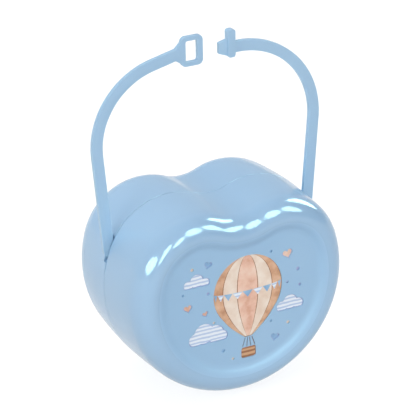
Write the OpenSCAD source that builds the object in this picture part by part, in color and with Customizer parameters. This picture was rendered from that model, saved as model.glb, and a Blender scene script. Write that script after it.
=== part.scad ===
// Pacifier sterilizer case.
// Two moulded shells meet at the plane y = 0 and turn on a pin in the foot. A lift-out tray
// sits in the rear shell, and two carrying straps stand in the seam and hook together above.
// X is the width, +Y the back and +Z the height. The case stands on z = 0.

/* [Outline] */
// Radius of the big arc that makes the bottom and the sides
base_r = 44; // [40:0.5:50]
// Radius of each of the two lobes at the top
lobe_r = 26.5; // [25:0.5:29]
// Angle at which each lobe leaves the big arc, above the horizontal
lobe_angle = 18; // [14:1:22]
// Radius of the hollow between the lobes
dip_r = 17; // [12:1:24]
// Height cut off the big arc to make the flat foot
foot_cut = 0.7; // [0.4:0.1:1]

/* [Shells] */
// Depth of the front shell, from the seam to the crest of its rim
front_depth = 27.2; // [24:0.4:34]
// Depth of the rear shell, from the seam to its back
rear_depth = 28.8; // [26:0.4:36]
// Thickness of the shell walls
wall = 1.8; // [1.4:0.1:2.2]
// Gap between the two rims when the case is closed
seam_gap = 0.1; // [0.05:0.05:0.2]
// Lean of the front shell's side wall for each millimetre of depth
front_draft = 0.03; // [0.01:0.005:0.04]
// Lean of the rear shell's side wall for each millimetre of depth
rear_draft = 0.004; // [0.002:0.002:0.02]
// Curvature of the front side wall: lean for each square millimetre of depth
front_crown = 0.001; // [0.0005:0.0005:0.002]
// Curvature of the rear side wall: lean for each square millimetre of depth
rear_crown = 0.0025; // [0.001:0.0005:0.003]
// How far the rounding of the front rim reaches along the depth
front_edge_depth = 8.8; // [6:0.2:10]
// How far the rounding of the front rim reaches inward
front_edge_width = 6.3; // [5.6:0.1:7.4]
// How far the rounding of the back edge reaches along the depth
rear_edge_depth = 9.4; // [6:0.2:11]
// How far the rounding of the back edge reaches inward
rear_edge_width = 4.6; // [4:0.1:7]

/* [Front panel] */
// Depth of the picture panel below the crest of the rim
panel_recess = 1.9; // [1:0.1:2.4]
// Radius of the crest's inner shoulder
shoulder_r = 2.4; // [1.6:0.1:3]
// Radius of the hollow fillet that runs into the panel
cove_r = 4.2; // [3:0.1:5]

/* [Lip and latch] */
// Height of the lip that stands on the front rim
lip_h = 1.4; // [1:0.1:2]
// Side clearance of the lip in its rebate
lip_gap = 0.1; // [0.05:0.05:0.2]
// Length of the latch tab behind the seam
latch_reach = 4.2; // [3.6:0.2:5]
// Thickness of the latch tab
latch_t = 1.2; // [1:0.1:1.5]
// Half of the latch tab's width, as an angle around the hollow's centre
latch_angle = 14; // [8:1:18]
// Height of the bead on the latch tab
latch_bead = 0.25; // [0.15:0.05:0.3]

/* [Hinge] */
// Height of the hinge axis above the foot
hinge_z = 2.4; // [2.2:0.1:2.8]
// Radius of the hinge knuckles
knuckle_r = 2.3; // [2:0.1:2.6]
// Radius of the hinge pin
pin_r = 1; // [0.7:0.1:1.2]
// Radial clearance of the pin in its bores
pin_gap = 0.05; // [0.02:0.01:0.1]
// Number of knuckles, the outer ones on the rear shell
knuckles = 5; // [3:2:7]
// Gap between neighbouring knuckles
knuckle_gap = 0.2; // [0.1:0.05:0.3]
// Gap around a knuckle in the other shell's recess
barrel_gap = 0.3; // [0.2:0.05:0.4]
// Largest opening angle of the front shell
open_angle = 115; // [90:5:120]

/* [Straps] */
// Width of the strap band
band_w = 4.2; // [3.8:0.2:5]
// Thickness of the strap band
band_t = 1.5; // [1.2:0.1:1.8]
// Gap between the strap's faces and the shells
band_gap = 0.1; // [0.05:0.05:0.15]
// Distance of the loop strap's bend centre from the middle
loop_bend_x = 15.3; // [12:0.5:18]
// Height of the loop strap's bend centre above the foot
loop_bend_z = 96.9; // [92:0.5:98]
// Radius of the loop strap's bend, to the middle of the band
loop_bend_r = 29.1; // [27:0.1:31]
// Distance of the hook strap's bend centre from the middle
hook_bend_x = 12.8; // [11:0.2:15]
// Height of the hook strap's bend centre above the foot
hook_bend_z = 95; // [92:0.5:98]
// Radius of the hook strap's bend, to the middle of the band
hook_bend_r = 31.3; // [29:0.1:33]
// Lean of the straight part of each strap
strap_lean = 4.6; // [3:0.1:6]
// Distance of the strap pegs from the middle
peg_x = 37.6; // [36.8:0.2:38]
// Height of the strap pegs above the foot
peg_z = 52.3; // [50:0.5:54]
// Radius of the strap pegs
peg_r = 1.5; // [1.2:0.1:1.8]
// Radial clearance of the pegs in the straps' eyes
peg_gap = 0.06; // [0.03:0.01:0.1]
// Radius of the eye at the foot of each strap
eye_r = 3.1; // [2.8:0.1:3.3]
// How far a strap swings outward from rest, in degrees
swing_out = 5; // [3:1:6]
// How far a strap swings inward from rest, in degrees
swing_in = 2; // [1:0.5:2]

/* [Clasp] */
// Width of the loop
loop_w = 8.8; // [8:0.1:10]
// Height of the loop
loop_h = 11.3; // [10.8:0.1:13]
// Width of the hole in the loop
hole_w = 4.7; // [3.8:0.1:5]
// Height of the hole in the loop
hole_h = 7.9; // [6.5:0.1:8.2]
// Width of the loop's closing bar, beyond the hole
loop_bar = 2.2; // [1.8:0.1:2.6]
// Corner radius of the loop
loop_corner = 2; // [1:0.1:2.4]
// Distance from the middle to the loop's closing edge
loop_x = 1.6; // [1.2:0.1:2.5]
// Length of the flare by which the band widens into the loop
flare = 2.2; // [1.5:0.1:3]
// Height of the middle of the clasp above the foot
clasp_z = 128; // [127:0.1:129]
// Height of the hook's cross bar
cross_h = 10.5; // [9.5:0.1:12]
// Width of the hook's cross bar
cross_w = 3; // [2.6:0.1:4]
// Thickness of the hook's cross bar
cross_t = 2.7; // [2:0.1:3.2]
// Distance from the middle to the tip of the hook's nose
nose_x = 4.8; // [4:0.1:5.2]
// Length of the hook's nose in front of the cross bar
nose_l = 3.5; // [2.8:0.1:3.8]
// Height of the hook's nose
nose_h = 4; // [3.6:0.1:5]
// How far the nose sits below the middle of the cross bar
nose_drop = 1.2; // [0.6:0.1:1.6]

/* [Tray] */
// Distance from the seam to the tray's floor
tray_y = 15; // [13:0.5:18]
// Thickness of the tray's floor
tray_t = 1.6; // [1.2:0.1:2]
// Height of the tray's edge above its floor
tray_edge = 2.6; // [2:0.2:4]
// Gap between the tray and what is around it
tray_gap = 0.4; // [0.3:0.05:0.6]
// Diameter of the drain holes
drain_d = 3.2; // [2:0.2:3.6]
// Distance between neighbouring drain holes
drain_pitch = 6.4; // [5.8:0.2:8]
// Radius of the ring that cradles a soother
cradle_r = 17; // [15:0.5:19]
// Radius of the posts under the tray
post_r = 2; // [1.5:0.1:2.5]

/* [Hidden] */
$fn = 96;
case_blue = "#A3C4DE";
pin_steel = "#C8CCD0";

// The outline's arcs: each touches its neighbours without a corner
base_z = base_r - foot_cut;
lobe_reach = base_r - lobe_r;
lobe_x = lobe_reach * cos(lobe_angle);
lobe_z = base_z + lobe_reach * sin(lobe_angle);
dip_z = lobe_z + sqrt(pow(lobe_r + dip_r, 2) - pow(lobe_x, 2));
dip_angle = atan2(dip_z - lobe_z, lobe_x);

over = 1;
half_gap = seam_gap / 2;
arc_step = 6;
inner_end = 1.5;
cove_back = 228;
hair = 0.02;
tie_angle = 2;
tie_skin = 0.45;

front_crest = lean(front_depth, front_draft, front_crown) + front_edge_width;
cove_angle = acos(1 - panel_recess / (shoulder_r + cove_r));
panel_inset = front_crest + (shoulder_r + cove_r) * sin(cove_angle);
panel_y = front_depth - panel_recess;
back_inset = lean(rear_depth, rear_draft, rear_crown) + rear_edge_width;

lip_side = wall / 2;
lip_free = 0.2;
lip_inner = 0.1;
lip_from = 52;
lip_to = 177 - dip_angle;
lip_dip = 86 - dip_angle;
lip_high = -2;
lip_low = -62;
lip_ends = 0.6;

latch_clear = 0.35;
latch_root = 5;
bead_y = latch_reach - 1.2;

recess_x = sqrt(pow(base_r, 2) - pow(base_r - hinge_z - foot_cut, 2)) + barrel_gap;
relief_y = hinge_z * tan(open_angle / 2) + barrel_gap;
recess_top = hinge_z + knuckle_r + barrel_gap;
knuckle_skin = 0.5;
knuckle_floor = hinge_z - pin_r - pin_gap - knuckle_skin;
knuckle_end = sqrt(pow(base_r, 2) - pow(base_z - knuckle_floor, 2));
knuckle_pitch = 2 * knuckle_end / knuckles;
pin_l = 2 * knuckle_end - knuckle_gap;

root_z = 57;
slot_t = band_t + 2 * band_gap;
slot_side = 0.4;
slot_below = 3.4;
slot_above = 14;
head_t = 0.8;
head_r = peg_r + 0.9;
column_r = eye_r + 0.2;
column_end = rear_depth - 7.8;
column_inset = lean(column_end, rear_draft, rear_crown) + wall / 6;
loop_end = 77;
hook_end = 94;

tray_inset = wall + lean(tray_y + tray_t, rear_draft, rear_crown) + tray_gap;
tray_rim = 1.4;
cradle_t = 1.4;
cradle_h = 1.8;
cradle_z = base_z - 1;
grip_w = 14;
grip_t = 2;
grip_h = 7;
grip_z = cradle_z + cradle_r + cradle_t + 2;
post_x = 19;
post_low = 22;
post_high = 58;

// Inset of a side wall at a given depth behind the seam
function lean(t, draft, crown) = draft * t + crown * t * t;

// Points along an arc, from just past one angle to the other
function arc(cx, cy, r, a0, a1, steps) =
    [for (i = [1 : steps]) let (a = a0 + (a1 - a0) * i / steps) [cx + r * cos(a), cy + r * sin(a)]];

// A rounded edge: the side wall's lean plus an elliptical corner, as [inset, depth] points
function rounding(depth, draft, crown, ed, ew, skin) =
    [for (a = [0 : arc_step : 90])
        let (t = depth - ed + (ed - skin) * sin(a))
        [lean(t, draft, crown) + skin + (ew - skin) * (1 - cos(a)), t]];

// The flank between a depth near the seam and the rounded edge
function flank(depth, draft, crown, ed, skin, from) =
    [for (i = [0 : 3])
        let (t = from + (depth - ed - from) * i / 4) [lean(t, draft, crown) + skin, t]];

function reversed(list) = [for (i = [len(list) - 1 : -1 : 0]) list[i]];

// Outline of the case seen from the front, moved inward by an inset
function outline(inset) = concat(
    arc(0, base_z, base_r - inset, lobe_angle, -180 - lobe_angle, 36),
    arc(-lobe_x, lobe_z, lobe_r - inset, 180 - lobe_angle, dip_angle, 16),
    arc(0, dip_z, dip_r + inset, dip_angle - 180, -dip_angle, 8),
    arc(lobe_x, lobe_z, lobe_r - inset, 180 - dip_angle, lobe_angle, 16));

// Section of the front shell's wall, as [inset, depth] points
function front_section() = concat(
    flank(front_depth, front_draft, front_crown, front_edge_depth, 0, half_gap),
    rounding(front_depth, front_draft, front_crown, front_edge_depth, front_edge_width, 0),
    arc(front_crest, front_depth - shoulder_r, shoulder_r, 90, 90 - cove_angle, 6),
    arc(panel_inset, panel_y + cove_r, cove_r, 270 - cove_angle, 270, 6),
    [[panel_inset + inner_end, panel_y], [panel_inset + inner_end, panel_y - wall]],
    arc(panel_inset, panel_y + cove_r, cove_r + wall, 270, cove_back, 4),
    reversed(rounding(front_depth, front_draft, front_crown, front_edge_depth, front_edge_width, wall)),
    reversed(flank(front_depth, front_draft, front_crown, front_edge_depth, wall, half_gap)));

// Section of the rear shell's wall
function rear_section() = concat(
    flank(rear_depth, rear_draft, rear_crown, rear_edge_depth, 0, half_gap),
    rounding(rear_depth, rear_draft, rear_crown, rear_edge_depth, rear_edge_width, 0),
    [[back_inset + inner_end, rear_depth], [back_inset + inner_end, rear_depth - wall]],
    reversed(rounding(rear_depth, rear_draft, rear_crown, rear_edge_depth, rear_edge_width, wall)),
    reversed(flank(rear_depth, rear_draft, rear_crown, rear_edge_depth, wall, half_gap)));

// Core of a wall's section, without its skins
function core_section(depth, draft, crown, ed, ew) = concat(
    flank(depth, draft, crown, ed, tie_skin, half_gap + tie_skin),
    rounding(depth, draft, crown, ed, ew, tie_skin),
    reversed(rounding(depth, draft, crown, ed, ew, wall - tie_skin)),
    reversed(flank(depth, draft, crown, ed, wall - tie_skin, half_gap + tie_skin)));

// Section of the snap tab: its root inside the front wall, its bead behind the seam
function latch_section() = [
    [wall / 2, latch_root],
    [wall / 2, latch_clear + half_gap],
    [wall + latch_clear, -half_gap],
    [wall + latch_clear, 2 * latch_bead - bead_y],
    [wall + latch_clear - latch_bead, -bead_y],
    [wall + latch_clear - latch_bead, -bead_y - latch_bead],
    [wall + latch_clear + latch_bead, -latch_reach],
    [wall + latch_clear + latch_t, -latch_reach],
    [wall + latch_clear + latch_t, latch_root - latch_t]];

// Sweeps an [inset, depth] section along one arc of the outline
module sweep(cx, cz, r, hollow, a0, a1)
    translate([cx, cz])
        rotate(a0)
            rotate_extrude(angle = a1 - a0)
                translate([r, 0])
                    mirror([hollow ? 0 : 1, 0])
                        children();

// Sweeps a section around the whole case. The four runs stop a hair short of each other
module sweep_all() {
    sweep(0, base_z, base_r, false, hair - 180 - lobe_angle, lobe_angle - hair) children();
    sweep(lobe_x, lobe_z, lobe_r, false, lobe_angle + hair, 180 - dip_angle - hair) children();
    sweep(-lobe_x, lobe_z, lobe_r, false, dip_angle + hair, 180 - lobe_angle - hair) children();
    sweep(0, dip_z, dip_r, true, dip_angle - 180 + hair, -dip_angle - hair) children();
}

// Sweeps the core of a wall across the four places where the runs meet
module sweep_ties() {
    for (a = [lobe_angle, -180 - lobe_angle])
        sweep(0, base_z, base_r, false, a - tie_angle, a + tie_angle) children();
    for (a = [dip_angle - 180, -dip_angle])
        sweep(0, dip_z, dip_r, true, a - tie_angle, a + tie_angle) children();
}

// Sweeps a section along the top and along the lower sides, clear of the straps
module sweep_lip(grow) {
    sweep(lobe_x, lobe_z, lobe_r, false, lip_from - grow, lip_to + grow) children();
    sweep(-lobe_x, lobe_z, lobe_r, false, 180 - lip_to - grow, 180 - lip_from + grow) children();
    sweep(0, dip_z, dip_r, true, -90 - lip_dip - grow, -90 + lip_dip + grow) children();
    sweep(0, base_z, base_r, false, lip_low - grow, lip_high + grow) children();
    sweep(0, base_z, base_r, false, 180 - lip_high - grow, 180 - lip_low + grow) children();
}

// Turn what is drawn flat, with its depth as height, to the front or to the back
module to_front() rotate([90, 0, 0]) children();
module to_back() mirror([0, 1, 0]) rotate([90, 0, 0]) children();

// A slab between two depths
module slab(near, far) translate([0, 0, near]) linear_extrude(far - near) children();

// What lies below the flat foot
module below_foot()
    translate([-base_r, -front_depth - 1, -base_r])
        cube([2 * base_r, front_depth + rear_depth + 2, base_r]);

// Draws a [depth, height] shape across the width; side is 1 for the back, -1 for the front
module across(side, x, width)
    mirror([0, side > 0 ? 0 : 1, 0])
        translate([x, 0, 0])
            rotate([90, 0, 90])
                linear_extrude(width)
                    children();

// The case's big arc as a disc across its depth, moved inward by an inset
module round_case(inset)
    translate([0, 2 * base_r, base_z])
        rotate([90, 0, 0])
            cylinder(h = 4 * base_r, r = base_r - inset);

// Block inside the foot that closes the shell above the hinge
module hinge_cover(side)
    intersection() {
        across(side, -recess_x - wall, 2 * (recess_x + wall))
            polygon([
                [half_gap, 0],
                [relief_y + wall, 0],
                [relief_y + wall, hinge_z + knuckle_r / 2 + wall],
                [knuckle_r + wall, recess_top + wall],
                [half_gap, recess_top + wall]]);
        round_case(wall / 2);
    }

// Room for the knuckles, and for the edges of the foot to pass when the case opens
module hinge_recess(side)
    across(side, -recess_x, 2 * recess_x) {
        translate([0, hinge_z]) circle(knuckle_r + barrel_gap);
        translate([-1, -1]) square([relief_y + 1, hinge_z + 1]);
    }

// A knuckle with the web that joins it to its shell, both flush with the round case
module knuckle(index, side)
    intersection() {
        across(side, (index - knuckles / 2) * knuckle_pitch + knuckle_gap / 2, knuckle_pitch - knuckle_gap) {
            translate([0, hinge_z]) circle(knuckle_r);
            translate([0, hinge_z - knuckle_r]) square([relief_y + wall / 2, knuckle_r]);
        }
        round_case(0);
    }

// Draws a cylinder on the hinge axis
module on_axis(length, r)
    translate([-length / 2, 0, hinge_z])
        rotate([0, 90, 0])
            cylinder(h = length, r = r);

// Adds a shell's half of the hinge to it
module with_hinge(side)
    difference() {
        union() {
            difference() {
                union() {
                    children();
                    hinge_cover(side);
                }
                hinge_recess(side);
            }
            for (i = [(side > 0 ? 0 : 1) : 2 : knuckles - 1]) knuckle(i, side);
        }
        on_axis(2 * (recess_x + wall), pin_r + pin_gap);
    }

module front_shell()
    color(case_blue)
        with_hinge(-1)
            difference() {
                to_front() {
                    sweep_all() polygon(front_section());
                    sweep_ties()
                        polygon(core_section(front_depth, front_draft, front_crown,
                                             front_edge_depth, front_edge_width));
                    slab(panel_y - wall, panel_y) polygon(outline(panel_inset + inner_end / 2));
                    sweep_lip(0)
                        translate([lip_side + lip_gap, -lip_h])
                            square([wall - lip_side - lip_gap - lip_inner, lip_h + 1]);
                    sweep(0, dip_z, dip_r, true, -90 - latch_angle, -90 + latch_angle)
                        polygon(latch_section());
                }
                below_foot();
            }

// Plan of the column under a strap's peg, tied to the side wall; side is 1 on the right
module column_plan(side, grow)
    translate([side * peg_x, peg_z]) {
        circle(column_r + grow);
        translate([side > 0 ? 0 : -base_r, -column_r - grow]) square([base_r, 2 * (column_r + grow)]);
    }

// Column, peg and staked head that hold the eye of a strap
module strap_column(side) {
    slab(slot_t, column_end)
        intersection() {
            column_plan(side, 0);
            polygon(outline(column_inset));
        }
    translate([side * peg_x, peg_z]) {
        slab(-head_t / 2, slot_t + 1) circle(peg_r);
        slab(-head_t, 0) circle(head_r);
    }
}

// Distance from the middle to a strap's straight part, at the height of its root
function root_x(bend_x, bend_z, bend_r) =
    bend_x + bend_r * cos(strap_lean) - (bend_z - bend_r * sin(strap_lean) - root_z) * tan(strap_lean);

// Opening in the rear rim where a strap comes out and swings
module strap_slot(side, root)
    slab(-1, slot_t)
        for (a = [-swing_out : 1 : swing_in])
            translate([side * peg_x, peg_z])
                rotate(side * a)
                    translate([side * (root - peg_x), root_z - peg_z])
                        rotate(-side * strap_lean)
                            translate([-band_w / 2 - slot_side, -slot_below])
                                square([band_w + 2 * slot_side, slot_below + slot_above]);

module rear_shell()
    color(case_blue)
        with_hinge(1)
            difference() {
                to_back() {
                    sweep_all() polygon(rear_section());
                    sweep_ties()
                        polygon(core_section(rear_depth, rear_draft, rear_crown,
                                             rear_edge_depth, rear_edge_width));
                    slab(rear_depth - wall, rear_depth) polygon(outline(back_inset + inner_end / 2));
                    for (side = [-1, 1]) strap_column(side);
                    for (side = [-1, 1], z = [post_low, post_high])
                        translate([side * post_x, z])
                            slab(tray_y + tray_t, rear_depth - wall / 2)
                                circle(post_r);
                }
                to_back() {
                    sweep_lip(lip_ends)
                        translate([lip_side, -1]) square([wall, lip_h + lip_free + 1]);
                    sweep(0, dip_z, dip_r, true, -91 - latch_angle, -89 + latch_angle)
                        translate([wall - latch_bead, bead_y - latch_bead])
                            square([wall, 3 * latch_bead]);
                    strap_slot(-1, root_x(loop_bend_x, loop_bend_z, loop_bend_r));
                    strap_slot(1, root_x(hook_bend_x, hook_bend_z, hook_bend_r));
                }
                below_foot();
            }

module hinge_pin()
    color(pin_steel)
        on_axis(pin_l, pin_r);

// A point at an angle and a distance from a centre
function ray(cx, cz, r, a) = [cx + r * cos(a), cz + r * sin(a)];

// One edge of a strap's band, from its root round the bend and along the link to its end
function band_edge(bend_x, bend_z, bend_r, bend_end, link, side) = let (
        r = bend_r + side * band_w / 2,
        tip = ray(bend_x, bend_z, r, bend_end))
    concat(
        [[root_x(bend_x, bend_z, bend_r) + side * band_w / 2, root_z], ray(bend_x, bend_z, r, -strap_lean)],
        arc(bend_x, bend_z, r, -strap_lean, bend_end, 28),
        [tip + link * [-sin(bend_end), cos(bend_end)]]);

// The band of a strap, drawn for the right side, with the eye at its foot
module band(bend_x, bend_z, bend_r, bend_end, link) {
    outer = root_x(bend_x, bend_z, bend_r) + band_w / 2;
    difference() {
        linear_extrude(band_t) {
            polygon(concat(
                band_edge(bend_x, bend_z, bend_r, bend_end, link, 1),
                reversed(band_edge(bend_x, bend_z, bend_r, bend_end, link, -1))));
            translate([peg_x, peg_z]) circle(eye_r);
            polygon([
                [outer - band_w, root_z + 0.5],
                [outer - 0.2, root_z + 0.5],
                [outer - 0.2, root_z - 0.8],
                [peg_x + eye_r + 0.3, peg_z + 2],
                ray(peg_x, peg_z, eye_r, 10),
                ray(peg_x, peg_z, eye_r, 150)]);
        }
        translate([peg_x, peg_z, -1]) cylinder(h = band_t + 2, r = peg_r + peg_gap);
    }
}

// A rectangle with rounded corners, centred on the origin
module rounded(w, h, r) {
    square([w - 2 * r, h], center = true);
    square([w, h - 2 * r], center = true);
    for (x = [-1, 1], y = [-1, 1])
        translate([x * (w / 2 - r), y * (h / 2 - r)]) circle(r);
}

module loop_strap() {
    tip = ray(loop_bend_x, loop_bend_z, loop_bend_r, loop_end);
    edge = loop_x + loop_w;
    link = (tip[0] - edge) / sin(loop_end) + 1;
    neck = [edge + flare, tip[1] + (tip[0] - edge - flare) / tan(loop_end)];
    color(case_blue)
        translate([0, band_gap, 0])
            to_back()
                mirror([1, 0, 0])
                    difference() {
                        union() {
                            band(loop_bend_x, loop_bend_z, loop_bend_r, loop_end, link);
                            linear_extrude(band_t) {
                                translate([loop_x + loop_w / 2, clasp_z])
                                    rounded(loop_w, loop_h, loop_corner);
                                polygon([
                                    neck + [0, band_w / 2],
                                    neck - [0, band_w / 2],
                                    [edge - 1, clasp_z - loop_h / 2 + loop_corner / 2],
                                    [edge - 1, clasp_z + loop_h / 2 - loop_corner / 2]]);
                            }
                        }
                        translate([loop_x + loop_bar + hole_w / 2, clasp_z, -1])
                            linear_extrude(band_t + 2)
                                rounded(hole_w, hole_h, 0.8);
                    }
}

module hook_strap()
    color(case_blue)
        translate([0, band_gap, 0])
            to_back() {
                band(hook_bend_x, hook_bend_z, hook_bend_r, hook_end, 0.2);
                translate([nose_x + nose_l + cross_w / 2, clasp_z, (band_t - cross_t) / 2])
                    linear_extrude(cross_t)
                        rounded(cross_w, cross_h, 1);
                linear_extrude(band_t)
                    polygon([
                        [nose_x, clasp_z + nose_h / 2 - nose_drop],
                        [nose_x, clasp_z - nose_h / 2 - nose_drop],
                        [nose_x + nose_l + 1, clasp_z - cross_h / 2 + 0.3],
                        [nose_x + nose_l + 1, clasp_z + nose_h / 2]]);
            }

// Plan of the tray, clear of the columns
module tray_plan(inset, grow)
    difference() {
        polygon(outline(inset));
        for (side = [-1, 1]) column_plan(side, grow);
    }

// True where a drain hole fits on the tray
function drains(x, z) = let (
        from_ring = abs(norm([x, z - cradle_z]) - cradle_r),
        margin = tray_inset + tray_rim + drain_d,
        in_base = z < lobe_z && norm([x, z - base_z]) < base_r - margin,
        in_lobe = z >= lobe_z && norm([abs(x) - lobe_x, z - lobe_z]) < lobe_r - margin,
        from_column = norm([abs(x) - peg_x, z - peg_z]))
    (in_base || in_lobe) && from_ring > drain_d && abs(z - grip_z) > drain_d
        && from_column > column_r + drain_d + tray_rim;

module soother_tray()
    color(case_blue)
        to_back() {
            difference() {
                slab(tray_y, tray_y + tray_t) tray_plan(tray_inset, tray_gap);
                for (i = [-7 : 7], j = [-8 : 8]) {
                    x = (i + (j % 2 == 0 ? 0 : 0.5)) * drain_pitch;
                    z = cradle_z + j * drain_pitch * sin(60);
                    if (drains(x, z))
                        translate([x, z, tray_y - over])
                            cylinder(h = tray_t + 2 * over, r = drain_d / 2, $fn = 24);
                }
            }
            slab(tray_y - tray_edge, tray_y + tray_t / 2)
                difference() {
                    tray_plan(tray_inset, tray_gap);
                    tray_plan(tray_inset + tray_rim, tray_gap + tray_rim);
                }
            slab(tray_y - cradle_h, tray_y + tray_t / 2)
                translate([0, cradle_z])
                    difference() {
                        circle(cradle_r + cradle_t / 2);
                        circle(cradle_r - cradle_t / 2);
                    }
            slab(tray_y - grip_h, tray_y + tray_t / 2)
                translate([0, grip_z])
                    rounded(grip_w, grip_t, 0.45 * grip_t);
        }

front_shell();
rear_shell();
hinge_pin();
loop_strap();
hook_strap();
soother_tray();
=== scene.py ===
"""Looks of the pacifier sterilizer case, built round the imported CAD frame.

Lengths are in millimetres until a mesh is made. X is the width, +Y the back and +Z the height.
A section is a list of (inset, depth) points: inset goes inward from the outline of the case,
depth goes away from the seam at y = 0, to the front or to the back.
"""

import math

import bmesh
import bpy
from mathutils import Matrix, Vector


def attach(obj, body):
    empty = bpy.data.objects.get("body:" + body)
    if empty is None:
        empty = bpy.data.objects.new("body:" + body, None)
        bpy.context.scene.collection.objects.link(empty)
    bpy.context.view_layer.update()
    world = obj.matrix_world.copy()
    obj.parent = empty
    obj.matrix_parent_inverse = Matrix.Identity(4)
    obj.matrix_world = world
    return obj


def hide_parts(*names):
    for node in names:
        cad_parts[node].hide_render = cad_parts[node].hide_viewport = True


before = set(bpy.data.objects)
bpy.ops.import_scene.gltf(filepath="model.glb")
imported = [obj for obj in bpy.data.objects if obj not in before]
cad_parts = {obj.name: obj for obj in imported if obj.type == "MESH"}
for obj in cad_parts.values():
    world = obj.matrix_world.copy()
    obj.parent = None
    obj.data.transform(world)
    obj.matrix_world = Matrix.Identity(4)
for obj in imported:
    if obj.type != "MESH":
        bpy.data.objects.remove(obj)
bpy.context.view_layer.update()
scene = bpy.context.scene

MM = 0.001
FRONT, BACK = -1, 1

# ---------------------------------------- sizes, as in the frame's solids
# the outline: a base arc with a flat foot, two lobes and the dip between them
BASE_R, LOBE_R, LOBE_ANGLE, DIP_R, FOOT_CUT = 44.0, 26.5, 18.0, 17.0, 0.7
BASE_Z = BASE_R - FOOT_CUT
LOBE_X = (BASE_R - LOBE_R) * math.cos(math.radians(LOBE_ANGLE))
LOBE_Z = BASE_Z + (BASE_R - LOBE_R) * math.sin(math.radians(LOBE_ANGLE))
DIP_Z = LOBE_Z + math.sqrt((LOBE_R + DIP_R) ** 2 - LOBE_X ** 2)
DIP_ANGLE = math.degrees(math.atan2(DIP_Z - LOBE_Z, LOBE_X))
OUTLINE_STEPS = (132, 56, 26)    # steps along the base, a lobe and the dip
# the two shells: side walls that lean inward with the depth, and a rounded far edge
WALL, HALF_GAP = 1.8, 0.05
FRONT_SIDE = dict(depth=27.2, draft=0.03, crown=0.001, edge_depth=8.8, edge_width=6.3)
REAR_SIDE = dict(depth=28.8, draft=0.004, crown=0.0025, edge_depth=9.4, edge_width=4.6)
# the panel's recess, the shoulder round it, softer than in the solids, the cove at the shoulder's
# foot, and the rounding of the rims
PANEL_RECESS, SHOULDER_R, COVE_R = 1.9, 6.0, 4.2
RIM_ROUNDING = 0.2
# how far a section runs on into the flat of the panel or of the back
PANEL_FLAT, BACK_FLAT = 1.5, 1.0
OUTER_STEP, INNER_STEP = 2.5, 5    # degrees between the points of an edge's outer and inner skin
# the hinge in the foot
HINGE_Z, PIN_R, PIN_GAP, OPEN_ANGLE = 2.4, 1.0, 0.05, 115.0
KNUCKLES, KNUCKLE_R, KNUCKLE_GAP, KNUCKLE_SKIN, BARREL_GAP = 5, 2.3, 0.2, 0.5, 0.3
# the lip, the rebate that is longer by LIP_ENDS degrees at each end, and the angles between which
# they run on the lobes, the dip and the base
LIP_H, LIP_GAP, LIP_FREE, LIP_ENDS = 1.4, 0.1, 0.2, 0.6
LIP_FROM, LIP_TO, LIP_DIP = 52, 177 - DIP_ANGLE, 86 - DIP_ANGLE
LIP_HIGH, LIP_LOW = -2, -62
# the snap tab in the dip and its groove
LATCH_REACH, LATCH_T, LATCH_ANGLE, LATCH_BEAD = 4.2, 1.2, 14.0, 0.25
LATCH_CLEAR, LATCH_ROOT, LATCH_START = 0.35, 5, 0.4
BEAD_Y = LATCH_REACH - 1.2
# the straps with their pegs, columns and slots
BAND_W, BAND_T, BAND_GAP, STRAP_LEAN, ROOT_Z = 4.2, 1.5, 0.1, 4.6, 57.0
BAND_NEAR, BAND_FAR, SLOT_T = BAND_GAP, BAND_GAP + BAND_T, BAND_T + 2 * BAND_GAP
PEG_X, PEG_Z, PEG_R, PEG_GAP, EYE_R = 37.6, 52.3, 1.5, 0.06, 3.1
HEAD_R, HEAD_T, COLUMN_R, COLUMN_SHORT = PEG_R + 0.9, 0.8, EYE_R + 0.2, 7.8
SLOT_SIDE, SLOT_BELOW, SLOT_ABOVE, SLOT_SWINGS = 0.4, 3.4, 14, (-5, -3, -1, 1, 2)
# each strap's bend: centre x and z, radius, and the angle at which it turns to its clasp
LOOP_BEND = (15.3, 96.9, 29.1, 77.0)
HOOK_BEND = (12.8, 95.0, 31.3, 94.0)
# the clasp: the loop with its hole, and the nose with its cross bar
CLASP_Z = 128.0
LOOP_X, LOOP_W, LOOP_H, LOOP_BAR, LOOP_CORNER, LOOP_FLARE = 1.6, 8.8, 11.3, 2.2, 2.0, 2.2
HOLE_W, HOLE_H, HOLE_CORNER = 4.7, 7.9, 0.8
NOSE_X, NOSE_L, NOSE_H, NOSE_DROP = 4.8, 3.5, 4.0, 1.2
CROSS_W, CROSS_H, CROSS_T, CROSS_CORNER = 3.0, 10.5, 2.7, 1.0
# the tray with its edge, drain holes, cradle ring and grip, and the posts that it stands on
TRAY_Y, TRAY_T, TRAY_EDGE, TRAY_GAP, TRAY_RIM = 15.0, 1.6, 2.6, 0.4, 1.4
DRAIN_D, DRAIN_PITCH, CRADLE_R, CRADLE_T, CRADLE_H = 3.2, 6.4, 17.0, 1.4, 1.8
CRADLE_Z = BASE_Z - 1
GRIP_W, GRIP_T, GRIP_H, GRIP_Z = 14, 2, 7, CRADLE_Z + CRADLE_R + CRADLE_T + 2
POST_X, POST_LOW, POST_HIGH, POST_R = 19, 22, 58, 2.0


# ---------------------------------------- outline and sections
def lean(t, side):
    return side["draft"] * t + side["crown"] * t * t


def arc(cx, cy, r, a0, a1, steps, first=False):
    """Points along an arc; the first one is left out unless asked for."""
    return [(cx + r * math.cos(math.radians(a0 + (a1 - a0) * i / steps)),
             cy + r * math.sin(math.radians(a0 + (a1 - a0) * i / steps)))
            for i in range(0 if first else 1, steps + 1)]


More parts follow.
